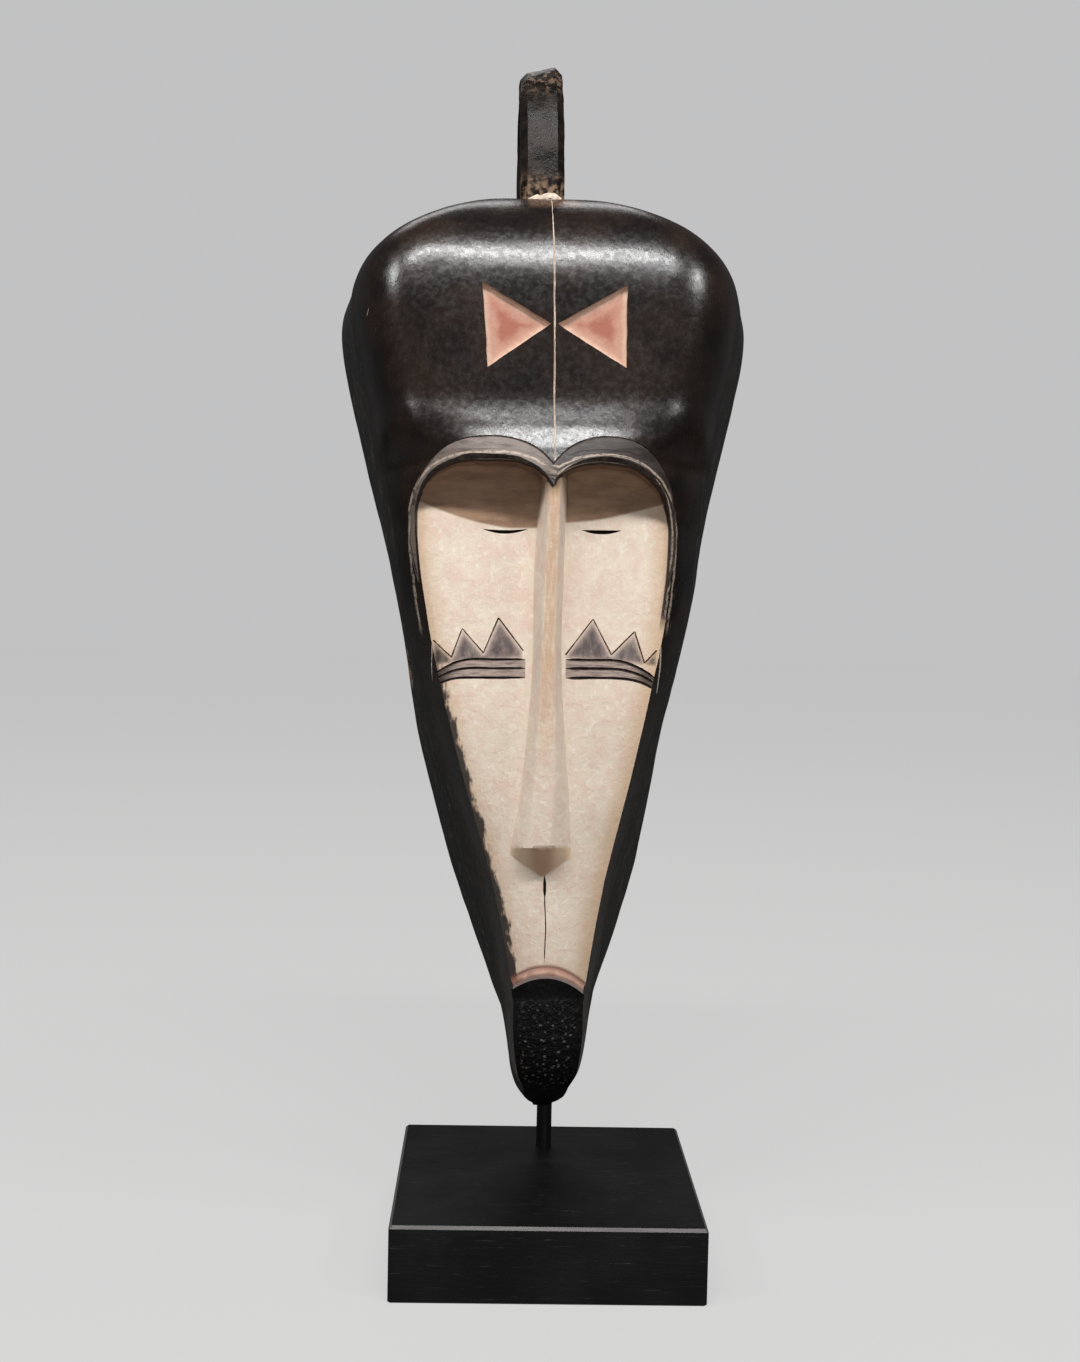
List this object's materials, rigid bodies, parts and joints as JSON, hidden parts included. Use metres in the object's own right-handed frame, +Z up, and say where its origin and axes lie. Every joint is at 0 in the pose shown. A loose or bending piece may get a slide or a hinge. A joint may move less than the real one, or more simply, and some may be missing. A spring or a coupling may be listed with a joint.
{
  "type": "fang ngil mask on a stand",
  "caption": "Tall hollow wooden mask with a swelling black forehead, flat white face, long nose, stippled chin and a crest loop, held upright on a rod in a square block.",
  "frame": {"origin": "centre of the block's underside, on the surface that the stand rests on", "axes": "+Z up along the rod; the face looks along -Y; +X is to the right of someone who looks at the face"},
  "size_m": [0.2179, 0.1577, 0.6047],
  "materials": {
    "mask_wood": "carved wood with a black-brown polished forehead, rough dark sides, a chalky white face, a red-brown lip and a stippled black chin",
    "rod_metal": "black painted round steel rod, satin",
    "base_wood": "wooden block painted satin black, edges slightly worn"
  },
  "bodies": {
    "root": {"mask": "mask_wood", "stand_rod": "rod_metal", "stand_base": "base_wood"}
  },
  "joints": []
}
